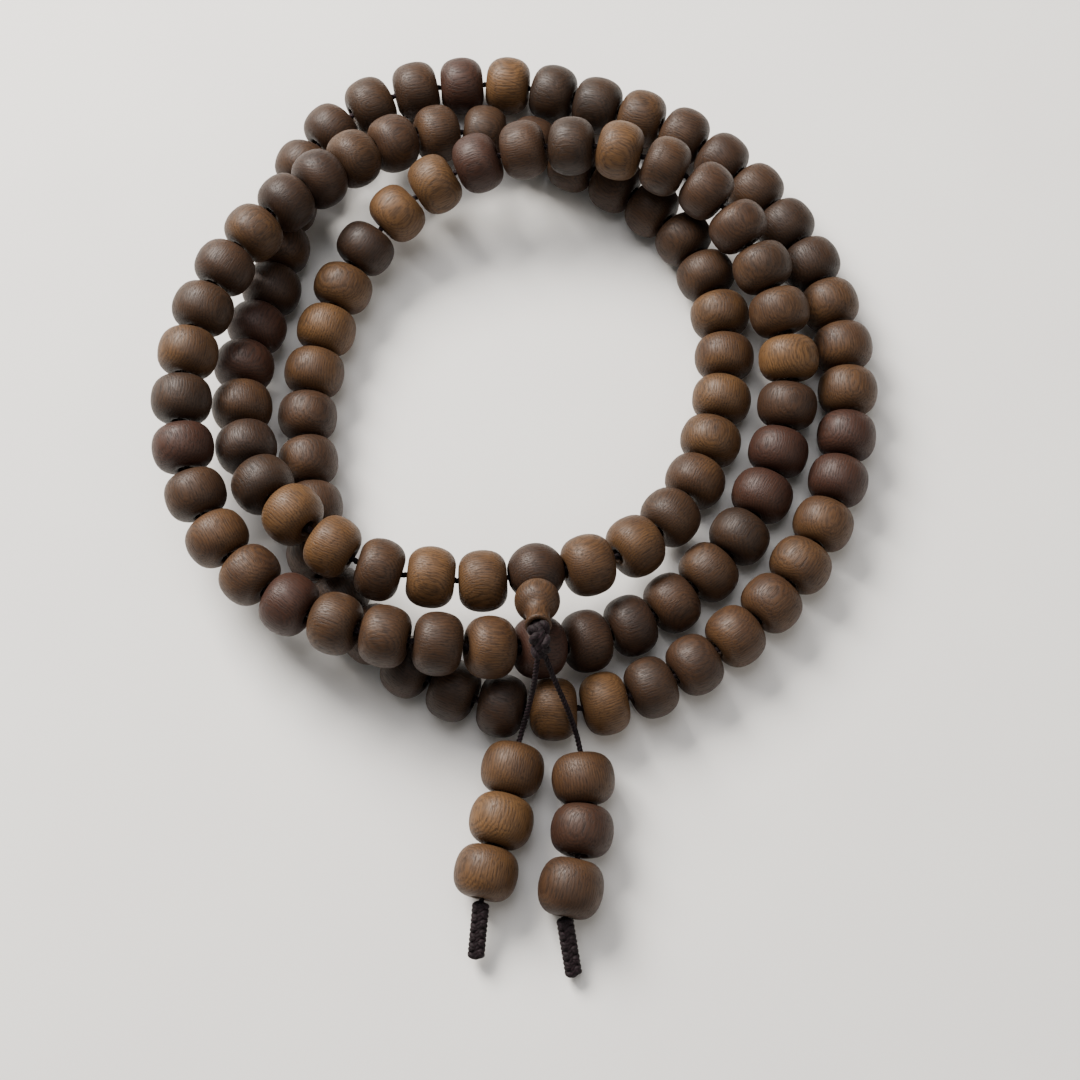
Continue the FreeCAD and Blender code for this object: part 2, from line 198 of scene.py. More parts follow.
def turned_wood(name, settings):
    """A dark, open-pored hardwood such as wenge, turned on a lathe and waxed by hand.

    To the eye: fine darker lines of late wood along the bore, which close into eyes where a growth ring
    only just touches the bead's side, short dark pores in the same direction, and a soft satin sheen.
    """
    material, tree, shader = new_material(name)
    local = add(tree, "ShaderNodeAttribute", attribute_name="bead_local").outputs["Vector"]
    tone = add(tree, "ShaderNodeAttribute", attribute_name="bead_tone").outputs["Fac"]
    seed = add(tree, "ShaderNodeAttribute", attribute_name="bead_seed").outputs["Fac"]
    red = add(tree, "ShaderNodeAttribute", attribute_name="bead_red").outputs["Fac"]
    in_mm = scaled(tree, local, MM_IN_M, MM_IN_M, MM_IN_M)

    # Each bead is cut from another place in the plank, with its fibres a few degrees off the bore.
    turned = add(tree, "ShaderNodeVectorRotate", {
        "Vector": in_mm, "Angle": math_node(tree, "MULTIPLY", seed, 43.0)},
        rotation_type="Z_AXIS").outputs[0]
    slope = math_node(tree, "SUBTRACT", drawn_from(tree, seed, 17.3), 0.5)
    tilted = add(tree, "ShaderNodeVectorRotate", {
        "Vector": turned, "Angle": math_node(tree, "MULTIPLY", slope, 0.5)},
        rotation_type="X_AXIS").outputs[0]
    shift = add(tree, "ShaderNodeCombineXYZ", {
        0: math_node(tree, "MULTIPLY", seed, 91.0), 1: math_node(tree, "MULTIPLY", seed, 57.0)}).outputs[0]
    plank = add(tree, "ShaderNodeVectorMath", {0: tilted, 1: shift}, operation="ADD").outputs[0]

    # Growth rings lie round a pith 5 to 14 mm away, so they are nearly flat across a bead.
    away = math_node(tree, "MULTIPLY_ADD", drawn_from(tree, seed, 29.7), 9.0, 5.0)
    split = add(tree, "ShaderNodeSeparateXYZ", {0: tilted})
    off_pith = math_node(tree, "ADD", split.outputs["X"], away)
    squares = [math_node(tree, "POWER", side, 2.0) for side in (off_pith, split.outputs["Y"])]
    radius = math_node(tree, "SQRT", math_node(tree, "ADD", *squares))
    bent = swayed(tree, radius, noise(tree, plank, 0.35, 3.0), 0.75)
    bent = swayed(tree, bent, noise(tree, scaled(tree, plank, 1.6, 1.6, 0.28), 1.0, 4.0, 0.6), 0.4)
    ring = math_node(tree, "PINGPONG", math_node(tree, "MULTIPLY", bent, settings.rings_per_mm), 0.5)
    ring = ramp(tree, math_node(tree, "MULTIPLY", ring, 2.0), RING_STOPS)

    # Pores are 0.1 mm wide and 1 to 2 mm long: drawn a little coarser than real, so that they show.
    pore = noise(tree, scaled(tree, plank, 6.5, 6.5, 0.75), 1.0, 2.0, 0.55)
    pores = ramp(tree, pore, ((0.36, 0.0), (0.5, 1.0)))
    fibre = noise(tree, scaled(tree, plank, 11.0, 11.0, 0.5), 1.0, 3.0, 0.7)
    cloud = noise(tree, plank, 0.22, 2.0)

    # The colour between the lines follows the bead's own tone, and clouds a little over each bead.
    toned = swayed(tree, swayed(tree, tone, cloud, 0.7), fibre, 0.55)
    early = ramp(tree, toned, (
        (0.0, settings_hex(settings.wood_dark)),
        (0.45, settings_hex(settings.wood_mid)),
        (1.0, settings_hex(settings.wood_light)),
    ))
    reddened = add(tree, "ShaderNodeMix", {
        0: math_node(tree, "MULTIPLY", red, 0.75), 6: early, 7: linear("#3a221b"),
    }, data_type="RGBA").outputs[2]
    line_depth = math_node(tree, "MULTIPLY_ADD", tone, 0.12, 0.34)
    line_shade = math_node(tree, "SUBTRACT", 1.0, math_node(
        tree, "MULTIPLY", line_depth, math_node(tree, "SUBTRACT", 1.0, ring)))
    pore_shade = math_node(tree, "MULTIPLY_ADD", pores, 0.45, 0.55)
    shade = math_node(tree, "MULTIPLY", line_shade, pore_shade)
    grained = add(tree, "ShaderNodeVectorMath", {0: reddened}, operation="SCALE")
    tree.links.new(shade, grained.inputs["Scale"])
    tree.links.new(grained.outputs[0], shader.inputs["Base Color"])

    gloss = math_node(tree, "MULTIPLY_ADD", fibre, 0.2, 0.38)
    gloss = math_node(tree, "MULTIPLY_ADD", math_node(tree, "SUBTRACT", 1.0, pores), 0.16, gloss)
    tree.links.new(gloss, shader.inputs["Roughness"])
    shader.inputs["IOR"].default_value = 1.5
    shader.inputs["Specular IOR Level"].default_value = 0.27
    shader.inputs["Coat Weight"].default_value = 0.03
    shader.inputs["Coat Roughness"].default_value = 0.42
    depth = math_node(tree, "MULTIPLY_ADD", ring, 0.35, math_node(tree, "MULTIPLY", pores, 0.65))
    depth = math_node(tree, "MULTIPLY_ADD", fibre, 0.3, depth)
    bump = add(tree, "ShaderNodeBump", {"Strength": 0.7, "Distance": 0.04 * MM, "Height": depth})
    tree.links.new(bump.outputs["Normal"], shader.inputs["Normal"])
    return material


def settings_hex(colour):
    """A colour property, kept in sRGB, as the hex that the ramps take."""
    return "#" + "".join("%02x" % round(c * 255) for c in colour)


def waxed_cord(name, settings):
    """A thin braided nylon cord, waxed: very dark aubergine, with a painted highlight on its strands' crowns
    and painted shade in the grooves between them.
    """
    material, tree, shader = new_material(name)
    place = add(tree, "ShaderNodeTexCoord").outputs["Object"]
    in_mm = scaled(tree, place, MM_IN_M, MM_IN_M, MM_IN_M)
    fuzz = noise(tree, in_mm, 7.0, 4.0, 0.7)
    crown = add(tree, "ShaderNodeAttribute", attribute_name="strand_crown").outputs["Fac"]
    # The crown term is a painted highlight on each strand's crown, which leaves painted shade in the grooves
    # between strands.
    lightness = math_node(tree, "MULTIPLY_ADD", fuzz, 0.55, math_node(tree, "MULTIPLY", crown, 0.35))
    lightness = swayed(tree, lightness, noise(tree, in_mm, 0.6, 2.0), 0.4)
    dyed = ramp(tree, lightness, (
        (0.15, "#090506"), (0.5, settings_hex(settings.cord_colour)), (0.95, "#3a202c")))
    tree.links.new(dyed, shader.inputs["Base Color"])
    shader.inputs["Roughness"].default_value = 0.7
    shader.inputs["IOR"].default_value = 1.53
    shader.inputs["Specular IOR Level"].default_value = 0.2
    shader.inputs["Sheen Weight"].default_value = 0.04
    shader.inputs["Sheen Roughness"].default_value = 0.5
    bump = add(tree, "ShaderNodeBump", {"Strength": 0.4, "Distance": 0.03 * MM, "Height": fuzz})
    tree.links.new(bump.outputs["Normal"], shader.inputs["Normal"])
    return material


def material_named(name, make, settings):
    return bpy.data.materials.get(name) or make(name, settings)


# ---------------------------------------------------------------- meshes
def link(obj):
    bpy.context.scene.collection.objects.link(obj)
    return obj


def smooth(mesh):
    for polygon in mesh.polygons:
        polygon.use_smooth = True


def lathe_mesh(name, outline, segments):
    """A closed outline of (radius, height), turned about Z, with its own coordinates kept as bead_local."""
    form = bmesh.new()
    rings = []
    for step in range(segments):
        turn = 2 * math.pi * step / segments
        rings.append([form.verts.new((r * math.cos(turn), r * math.sin(turn), z)) for r, z in outline])
    for ring, following in zip(rings, rings[1:] + rings[:1]):
        for low in range(len(outline)):
            high = (low + 1) % len(outline)
            form.faces.new((ring[low], following[low], following[high], ring[high]))
    bmesh.ops.recalc_face_normals(form, faces=form.faces)
    mesh = bpy.data.meshes.new(name)
    form.to_mesh(mesh)
    form.free()
    smooth(mesh)
    keep_local(mesh)
    return mesh


def keep_local(mesh):
    """Stores each vertex's present place as the attribute that the wood is drawn on."""
    places = np.empty(len(mesh.vertices) * 3, np.float32)
    mesh.vertices.foreach_get("co", places)
    stored = mesh.attributes.get("bead_local") or mesh.attributes.new("bead_local", "FLOAT_VECTOR", "POINT")
    stored.data.foreach_set("vector", places)


def store(mesh, name, value):
    """The same number on every vertex of a piece."""
    stored = mesh.attributes.get(name) or mesh.attributes.new(name, "FLOAT", "POINT")
    stored.data.foreach_set("value", np.full(len(mesh.vertices), value, np.float32))


def arc(centre, radius, start, end, steps):
    """Points of (radius, height) along an arc, angles in degrees from the outward direction."""
    angles = [math.radians(start + (end - start) * i / steps) for i in range(steps + 1)]
    return [(centre[0] + radius * math.cos(a), centre[1] + radius * math.sin(a)) for a in angles]


def bead_outline(settings):
    """Half a bead, mirrored: bore wall, broken edge, flat end, rounded shoulder and crowned side."""
    half = settings.bead_length / 2
    radius, bore, edge = settings.bead_diameter / 2, settings.bore_diameter / 2, 0.18 * MM
    crown, shoulder = 4.5 * MM, 2.25 * MM
    # The shoulder's arc touches the flat end and the inside of the crown's arc.
    rise = half - shoulder
    reach = math.sqrt((crown - shoulder) ** 2 - rise ** 2)
    centre = (radius - crown + reach, rise)
    meeting = math.degrees(math.atan2(rise, reach))
    upper = arc((radius - crown, 0), crown, 0, meeting, 5)
    upper += arc(centre, shoulder, meeting, 90, 6)[1:]
    upper += [(bore + edge * 2.2, half), (bore + edge * 0.4, half - edge * 0.35), (bore, half - edge * 1.3)]
    lower = [(r, -z) for r, z in reversed(upper)]
    return lower + upper[1:] + [(bore, 0)]


def frame_along(direction):
    """The turn that takes Z to a direction."""
    return direction.to_track_quat("Z", "Y").to_matrix().to_4x4()


# ---------------------------------------------------------------- where the beads are
def loose_solids(node):
    """The separate solids of one of the frame's nodes, as arrays of triangles."""
    form = bmesh.new()
    form.from_mesh(NODES[node].data)
    bmesh.ops.remove_doubles(form, verts=form.verts, dist=1e-7)
    bmesh.ops.triangulate(form, faces=form.faces)
    form.verts.ensure_lookup_table()
    left = set(form.faces)
    found = []
    while left:
        edge_of_search = [left.pop()]
        solid = []
        while edge_of_search:
            face = edge_of_search.pop()
            solid.append([tuple(v.co) for v in face.verts])
            for edge in face.edges:
                for other in edge.link_faces:
                    if other in left:
                        left.remove(other)
                        edge_of_search.append(other)
        found.append(np.array(solid))
    form.free()
    return found


def centre_and_bore(triangles):
    """The centre of a turned solid, and the direction of its bore, from how its surface is spread."""
    middles = triangles.mean(axis=1)
    sides = np.cross(triangles[:, 1] - triangles[:, 0], triangles[:, 2] - triangles[:, 0])
    areas = np.linalg.norm(sides, axis=1)
    centre = (middles * areas[:, None]).sum(0) / areas.sum()
    offset = middles - centre
    spread = (offset * areas[:, None]).T @ offset
    sizes, ways = np.linalg.eigh(spread)
    odd = 0 if sizes[1] - sizes[0] > sizes[2] - sizes[1] else 2
    return Vector(centre), Vector(ways[:, odd]).normalized()


def strand_beads():
    """Every bead on the string: its number to (body, centre, bore), bores running on from bead to bead."""
    beads = {}
    nodes = sorted((n for n in NODES if n.startswith("bead")), key=lambda n: int(n.split("_")[1]))
    before = GURU
    for node in nodes:
        found = [centre_and_bore(solid) for solid in loose_solids(node)]
        found.sort(key=lambda bead: (bead[0] - before).length)
        for number, (centre, bore) in enumerate(found, start=int(node.split("_")[1])):
            if bore.dot(centre - before) < 0:
                bore = -bore
            beads[number] = (NODES[node]["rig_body"], centre, bore)
            before = centre
    return beads


BEADS = strand_beads()


def room_for(number):
    """How long a bead can be between its neighbours, whose ends close in on the inside of a bend."""
    _, centre, bore = BEADS[number]
    rooms = []
    for other in (number - 1, number + 1):
        if other in BEADS:
            _, beside, its_bore = BEADS[other]
            closing = BEAD_END_WIDTH * math.sin(bore.angle(its_bore) / 2)
            rooms.append((beside - centre).length - closing - BEAD_GAP)
    return min(rooms)


def tone_of(number, draw):
    """How light a bead's wood is, from 0 for smoky to 1 for golden."""
    if number in GOLDEN:
        return draw.uniform(0.74, 0.86)
    if number in WARM:
        return draw.uniform(0.52, 0.64)
    if number in SMOKY:
        return draw.uniform(0.1, 0.2)
    return draw.uniform(0.3, 0.44)


# ---------------------------------------------------------------- geometry nodes
def named_attribute(tree, name, kind="FLOAT"):
    """An attribute of the points, by its name."""
    return add(tree, "GeometryNodeInputNamedAttribute", {"Name": name}, data_type=kind).outputs[0]


def interface(tree, name, kind, default=None, output=False):
    socket = tree.interface.new_socket(name=name, in_out="OUTPUT" if output else "INPUT", socket_type=kind)
    if default is not None:
        socket.default_value = default
    return socket.identifier


def set_inputs(modifier, **values):
    """Sets a modifier's inputs by their names' identifiers."""
    sockets = {
        item.name: item.identifier
        for item in modifier.node_group.interface.items_tree
        if item.item_type == "SOCKET" and item.in_out == "INPUT"
    }
    for name, value in values.items():
        modifier[sockets[name.replace("_", " ")]] = value


def bead_threading_tree():
    """Puts a turned bead on every point, bore along the point's own direction, each a little different."""
    tree = bpy.data.node_groups.new("thread_beads", "GeometryNodeTree")
    interface(tree, "Geometry", "NodeSocketGeometry")
    interface(tree, "bead", "NodeSocketObject")
    interface(tree, "material", "NodeSocketMaterial")
    interface(tree, "size variation", "NodeSocketFloat", 0.03)
    interface(tree, "bead length", "NodeSocketFloat", 5.9 * MM)
    interface(tree, "hand wobble", "NodeSocketFloat", 0.03 * MM)
    interface(tree, "seed", "NodeSocketInt", 1)
    interface(tree, "Geometry", "NodeSocketGeometry", output=True)
    given = add(tree, "NodeGroupInput")
    bore = named_attribute(tree, "bore", "FLOAT_VECTOR")
    seed = named_attribute(tree, "bead_seed")
    along = add(tree, "FunctionNodeAlignRotationToVector", {"Vector": bore}, axis="Z").outputs[0]
    spin = add(tree, "ShaderNodeCombineXYZ", {2: math_node(tree, "MULTIPLY", seed, 63.0)}).outputs[0]
    turned = add(tree, "FunctionNodeRotateRotation", {0: along, 1: spin}, rotation_space="LOCAL").outputs[0]
    least = math_node(tree, "SUBTRACT", 1.0, given.outputs["size variation"])
    wide = add(tree, "FunctionNodeRandomValue", {2: least, 3: 1.0, "Seed": given.outputs["seed"]})
    long = math_node(tree, "DIVIDE", named_attribute(tree, "room"), given.outputs["bead length"])
    scale = add(tree, "ShaderNodeCombineXYZ", {0: wide.outputs[1], 1: wide.outputs[1], 2: long}).outputs[0]
    shape = add(tree, "GeometryNodeObjectInfo", {"Object": given.outputs["bead"]}).outputs["Geometry"]
    threaded = add(tree, "GeometryNodeInstanceOnPoints", {
        "Points": given.outputs["Geometry"], "Instance": shape, "Rotation": turned, "Scale": scale})
    real = add(tree, "GeometryNodeRealizeInstances", {0: threaded.outputs[0]}).outputs[0]
    place = named_attribute(tree, "bead_local", "FLOAT_VECTOR")
    each = named_attribute(tree, "bead_seed")
    apart = add(tree, "ShaderNodeVectorMath", {0: place, "Scale": 260.0}, operation="SCALE").outputs[0]
    lump = add(tree, "ShaderNodeTexNoise", {
        "Vector": apart, "W": math_node(tree, "MULTIPLY", each, 80.0), "Scale": 1.0, "Detail": 1.0},
        noise_dimensions="4D").outputs["Fac"]
    push = math_node(tree, "MULTIPLY", math_node(tree, "SUBTRACT", lump, 0.62), given.outputs["hand wobble"])
    normal = add(tree, "GeometryNodeInputNormal").outputs[0]
    moved = add(tree, "ShaderNodeVectorMath", {0: normal, "Scale": push}, operation="SCALE").outputs[0]
    shaped = add(tree, "GeometryNodeSetPosition", {"Geometry": real, "Offset": moved}).outputs[0]
    finished = add(tree, "GeometryNodeSetMaterial", {
        "Geometry": shaped, "Material": given.outputs["material"]}).outputs[0]
    add(tree, "NodeGroupOutput", {0: finished})
    return tree


def twisted_cord_tree():
    """A cord laid up of round strands that twist round one another along a curve."""
    tree = bpy.data.node_groups.new("twist_cord", "GeometryNodeTree")
    interface(tree, "Geometry", "NodeSocketGeometry")
    interface(tree, "material", "NodeSocketMaterial")
    interface(tree, "radius", "NodeSocketFloat", 0.4 * MM)
    interface(tree, "strands", "NodeSocketFloat", 3.0)
    interface(tree, "groove", "NodeSocketFloat", 0.16)
    interface(tree, "lay length", "NodeSocketFloat", 2.4 * MM)
    interface(tree, "step", "NodeSocketFloat", 0.3 * MM)
    interface(tree, "Geometry", "NodeSocketGeometry", output=True)
    given = add(tree, "NodeGroupInput")
    even = add(tree, "GeometryNodeResampleCurve", {
        "Curve": given.outputs["Geometry"], "Length": given.outputs["step"]}, mode="LENGTH").outputs[0]
    distance = add(tree, "GeometryNodeSplineParameter").outputs["Length"]
    turns = math_node(tree, "DIVIDE", distance, given.outputs["lay length"])
    tilted = add(tree, "GeometryNodeSetCurveTilt", {
        "Curve": even, "Tilt": math_node(tree, "MULTIPLY", turns, 2 * math.pi)}).outputs[0]
    ring = add(tree, "GeometryNodeCurvePrimitiveCircle", {
        "Resolution": 18, "Radius": given.outputs["radius"]}, mode="RADIUS").outputs[0]
    round_ring = add(tree, "GeometryNodeSplineParameter").outputs["Factor"]
    wave = math_node(tree, "COSINE", math_node(
        tree, "MULTIPLY", math_node(tree, "MULTIPLY", round_ring, given.outputs["strands"]), 2 * math.pi))
    dip = math_node(tree, "MULTIPLY", math_node(tree, "SUBTRACT", wave, 1.0), given.outputs["groove"])
    spot = add(tree, "GeometryNodeInputPosition").outputs[0]
    inward = add(tree, "ShaderNodeVectorMath", {0: spot, "Scale": dip}, operation="SCALE").outputs[0]
    lobed = add(tree, "GeometryNodeSetPosition", {"Geometry": ring, "Offset": inward}).outputs[0]
    # Stores how near each point of the profile is to a strand's crown, which the cord's material uses to paint
    # a highlight on the crowns and shade in the grooves.
    crowned = add(tree, "GeometryNodeStoreNamedAttribute", {
        "Geometry": lobed, "Name": "strand_crown", "Value": math_node(tree, "MULTIPLY_ADD", wave, 0.5, 0.5)},
        data_type="FLOAT", domain="POINT").outputs[0]
    tube = add(tree, "GeometryNodeCurveToMesh", {
        "Curve": tilted, "Profile Curve": crowned, "Fill Caps": True}).outputs[0]
    shaded = add(tree, "GeometryNodeSetShadeSmooth", {"Geometry": tube}).outputs[0]
    finished = add(tree, "GeometryNodeSetMaterial", {
        "Geometry": add(tree, "GeometryNodeRealizeInstances", {0: shaded}).outputs[0],
        "Material": given.outputs["material"]}).outputs[0]
    add(tree, "NodeGroupOutput", {0: finished})
    return tree


def tree_named(name, make):
    return bpy.data.node_groups.get(name) or make()


def as_mesh(obj, name):
    """What an object's Geometry Nodes make, as a plain mesh piece; the object itself is removed."""
    bpy.context.view_layer.update()
    evaluated = obj.evaluated_get(bpy.context.evaluated_depsgraph_get())
    mesh = bpy.data.meshes.new_from_object(evaluated)
    mesh.name = name
    bpy.data.objects.remove(obj)
    return link(bpy.data.objects.new(name, mesh))


def thread(name, beads, shape, material, settings, seed):
    """One mesh of beads; each is (centre, bore, tone, red, draw, room)."""
    mesh = bpy.data.meshes.new(name + "_points")
    mesh.from_pydata([bead[0] for bead in beads], [], [])
    bore = mesh.attributes.new("bore", "FLOAT_VECTOR", "POINT")
    bore.data.foreach_set("vector", [c for bead in beads for c in bead[1]])
    for column, attribute in ((2, "bead_tone"), (3, "bead_red"), (4, "bead_seed"), (5, "room")):
        stored = mesh.attributes.new(attribute, "FLOAT", "POINT")
        stored.data.foreach_set("value", [bead[column] for bead in beads])
    holder = link(bpy.data.objects.new(name + "_points", mesh))
    modifier = holder.modifiers.new("thread", "NODES")
    modifier.node_group = tree_named("thread_beads", bead_threading_tree)
    set_inputs(modifier, bead=shape, material=material, size_variation=settings.size_variation,
               bead_length=settings.bead_length, hand_wobble=settings.hand_wobble, seed=seed)
    return as_mesh(holder, name)


def nurbs_curve(name, points):
    """One open spline of order 3 with the route's points as its control points."""
    curve = bpy.data.curves.new(name, "CURVE")
    curve.dimensions = "3D"
    curve.resolution_u = 12
    spline = curve.splines.new("NURBS")
    spline.points.add(len(points) - 1)
    for control, point in zip(spline.points, points):
        control.co = (*point, 1.0)
    spline.order_u = 3
    spline.use_endpoint_u = True
    return curve


def curve_points(curve):
    """Points along a curve's own line, in order."""
    holder = link(bpy.data.objects.new("line", curve))
    bpy.context.view_layer.update()
    mesh = bpy.data.meshes.new_from_object(holder.evaluated_get(bpy.context.evaluated_depsgraph_get()))
    points = [v.co.copy() for v in mesh.vertices]
    bpy.data.objects.remove(holder)
    bpy.data.meshes.remove(mesh)
    return points


def twisted(name, curve, material, radius, lay_length, step, strands=3.0, groove=0.16):
    """A twisted cord along a curve, as a mesh piece."""
    holder = link(bpy.data.objects.new(name + "_line", curve))
    modifier = holder.modifiers.new("twist", "NODES")
    modifier.node_group = tree_named("twist_cord", twisted_cord_tree)
    set_inputs(modifier, material=material, radius=radius, strands=strands, groove=groove,
               lay_length=lay_length, step=step)
    return as_mesh(holder, name)


# ---------------------------------------------------------------- knots
def braid_curves(spine, width, depth, crossings, narrowing):
    """Two strands that weave from side to side along a spine, closer towards its end, as lists of points."""
    lengths = [0.0]
    for before, after in zip(spine, spine[1:]):
        lengths.append(lengths[-1] + (after - before).length)
    total = lengths[-1]

    def at(distance):
        for i in range(len(spine) - 1):
            if distance <= lengths[i + 1] or i == len(spine) - 2:
                share = (distance - lengths[i]) / (lengths[i + 1] - lengths[i])
                return spine[i].lerp(spine[i + 1], share), (spine[i + 1] - spine[i]).normalized()

    strands = []
    steps = 14 * crossings
    for line in (0, 1):
        points = []
        for step in range(steps + 1):
            phase = math.pi * crossings * step / steps + math.pi * line
            place, along = at(min(max(total * step / steps, 0.0), total))
            sideways = along.cross(Vector((0, 0, 1)))
            sideways = (sideways if sideways.length > 0.1 else Vector((1, 0, 0))).normalized()
            outward = sideways.cross(along)
            share = 1 - narrowing * step / steps
            points.append(place + sideways * width * share * math.sin(phase)
                          + outward * depth * share * math.sin(2 * phase) * (1 if line % 2 else -1))
        strands.append(points)
    return strands


def joined(name, pieces):
    """Several mesh pieces as one."""
    with bpy.context.temp_override(active_object=pieces[0], selected_editable_objects=pieces):
        bpy.ops.object.join()
    pieces[0].name = name
    pieces[0].data.name = name
    return pieces[0]


def spread_points(start, end, count):
    return [start.lerp(end, i / (count - 1)) for i in range(count)]


# ---------------------------------------------------------------- settings
class BeadSettings(bpy.types.PropertyGroup):
    bead_diameter: FloatProperty(
        name="Bead diameter", description="Across a bead at its fullest", default=8.0 * MM, unit="LENGTH")
    bead_length: FloatProperty(
        name="Bead length", description="Along a bead's bore, before it is fitted", default=5.9 * MM,
        unit="LENGTH")
    bore_diameter: FloatProperty(
        name="Bore", description="The hole through each bead", default=2.0 * MM, unit="LENGTH")
    size_variation: FloatProperty(
        name="Size variation", description="How much smaller the smallest bead is", default=0.028,
        subtype="FACTOR", min=0, max=0.2)
    hand_wobble: FloatProperty(
        name="Hand wobble", description="How far a bead's side strays from round", default=0.16 * MM,
        unit="LENGTH")
    seed: IntProperty(name="Seed", description="Another draw of tones and sizes", default=11)
    rings_per_mm: FloatProperty(
        name="Rings", description="Growth rings in a millimetre of wood", default=3.0, min=0.1)
    wood_dark: FloatVectorProperty(
        name="Smoky wood", description="The darkest beads", default=(0.155, 0.11, 0.08),
        subtype="COLOR_GAMMA", min=0, max=1)
    wood_mid: FloatVectorProperty(
        name="Brown wood", description="The usual bead", default=(0.26, 0.175, 0.108),
        subtype="COLOR_GAMMA", min=0, max=1)
    wood_light: FloatVectorProperty(
        name="Golden wood", description="The lightest beads", default=(0.42, 0.3, 0.18),
        subtype="COLOR_GAMMA", min=0, max=1)


class CordSettings(bpy.types.PropertyGroup):
    string_diameter: FloatProperty(
        name="String", description="The cord through the beads", default=0.85 * MM, unit="LENGTH")
    tail_diameter: FloatProperty(
        name="Tail cord", description="Each of the two tails", default=0.75 * MM, unit="LENGTH")
    lay_length: FloatProperty(
        name="Lay length", description="One full turn of the cord's strands", default=2.0 * MM, unit="LENGTH")
    cord_colour: FloatVectorProperty(
        name="Cord colour", description="The dye of the cord", default=(0.088, 0.042, 0.054),
        subtype="COLOR_GAMMA", min=0, max=1)


class StageSettings(bpy.types.PropertyGroup):
    focal_length: FloatProperty(
        name="Lens", description="Focal length on a 36 mm sensor", default=66.53, unit="CAMERA")
    floor_colour: FloatVectorProperty(
        name="Floor", description="The plain floor", default=(0.93, 0.925, 0.91),
        subtype="COLOR_GAMMA", min=0, max=1)
    window_power: FloatProperty(
        name="Window light", description="The large soft light from the upper left", default=1.6,
        unit="POWER")


# ---------------------------------------------------------------- pieces
def wood_settings():
    return bpy.context.scene.mala_beads


def cord_settings():
    return bpy.context.scene.mala_cord


class MALA_OT_beads(bpy.types.Operator):
    """Turns the beads and threads them where the string runs, a mesh for every body"""
    bl_idname = "mala.beads"
    bl_label = "Beads"

    def execute(self, context):
        settings = wood_settings()
        material = material_named("turned_waxed_wenge", turned_wood, settings)
        shape = link(bpy.data.objects.new(
            "bead_shape", lathe_mesh("bead_shape", bead_outline(settings), 36)))
        draw = random.Random(settings.seed)
        by_body = {}
        for number, (body, centre, bore) in BEADS.items():
            red = 1.0 if number in REDDISH else draw.uniform(0.0, 0.25)
            length = min(max(room_for(number), BEAD_LENGTHS[0]), BEAD_LENGTHS[1])
            bead = (centre, bore, tone_of(number, draw), red, draw.random(), length)
            by_body.setdefault(body, []).append(bead)
        for body, beads in by_body.items():
            name = "strand_beads" if body == "strand" else body + "_turned"
            piece = thread(name, beads, shape, material, settings, settings.seed + len(name) + int(
                body.split("_")[1] if body != "strand" else 0))
            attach(piece, body)
            nodes = [n for n in NODES if n.startswith("bead") and NODES[n]["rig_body"] == body]
            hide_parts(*nodes)
        for side in SIDES:
            counters = {n: centre_and_bore(loose_solids("counter_%s_%d" % (side, n))[0]) for n in (1, 2, 3)}
            for place in counters:
                nearest = min((counters[place][0] - counters[n][0]).length for n in counters if n != place)
                node = "counter_%s_%d" % (side, place)
                centre, bore = counters[place]
                tone, red = COUNTER_TONES[side][place - 1]
                bead = (centre, bore, tone, red, draw.random(), nearest - COUNTER_GAP)
                piece = thread(node + "_turned", [bead], shape, material,
                               settings, settings.seed + 7 * place + len(side))
                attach(piece, node)
                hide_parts(node)
        bpy.data.objects.remove(shape)
        return {"FINISHED"}


class MALA_OT_guru(bpy.types.Operator):
    """Turns the round guru bead with its three holes"""
    bl_idname = "mala.guru"
    bl_label = "Guru bead"

    def execute(self, context):
        settings = wood_settings()
        low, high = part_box("guru_bead")
        radius = max(high - low) / 2 - 0.03 * MM
        bore = settings.bore_diameter / 2
        rim = math.degrees(math.acos((bore + 0.2 * MM) / radius))
        outline = arc((0, 0), radius, -rim, rim, 26)
        cut = outline[-1][1] - 0.22 * MM
        outline += [(bore, cut), (bore, 0), (bore, -cut)]
        ball = link(bpy.data.objects.new("guru", lathe_mesh("guru", outline, 56)))
        ball.data.transform(frame_along(STRING_AT_GURU))
        drill = link(bpy.data.objects.new("third_hole", lathe_mesh(
            "third_hole", [(0.0002 * MM, 0), (bore, 0), (bore, 6 * MM), (0.0002 * MM, 6 * MM)], 24)))
        drill.data.transform(frame_along(TOWER_AXIS))
        hole = ball.modifiers.new("third_hole", "BOOLEAN")
        hole.object = drill
        hole.operation = "DIFFERENCE"
        piece = as_mesh(ball, "guru_turned")
        bpy.data.objects.remove(drill)
        turn = frame_along(STRING_AT_GURU).inverted()
        piece.data.transform(turn)
        keep_local(piece.data)
        piece.data.transform(turn.inverted())
        piece.data.transform(Matrix.Translation(GURU))
        finish_wood(piece, 0.16, 0.31, 0.2)
        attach(piece, "pendant")
        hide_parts("guru_bead")
        return {"FINISHED"}


def finish_wood(piece, tone, seed, red):
    """Gives a single turned piece its wood and its own tone."""
    piece.data.materials.clear()
    piece.data.materials.append(material_named("turned_waxed_wenge", turned_wood, wood_settings()))
    for name, value in (("bead_tone", tone), ("bead_seed", seed), ("bead_red", red)):
        store(piece.data, name, value)
    smooth(piece.data)


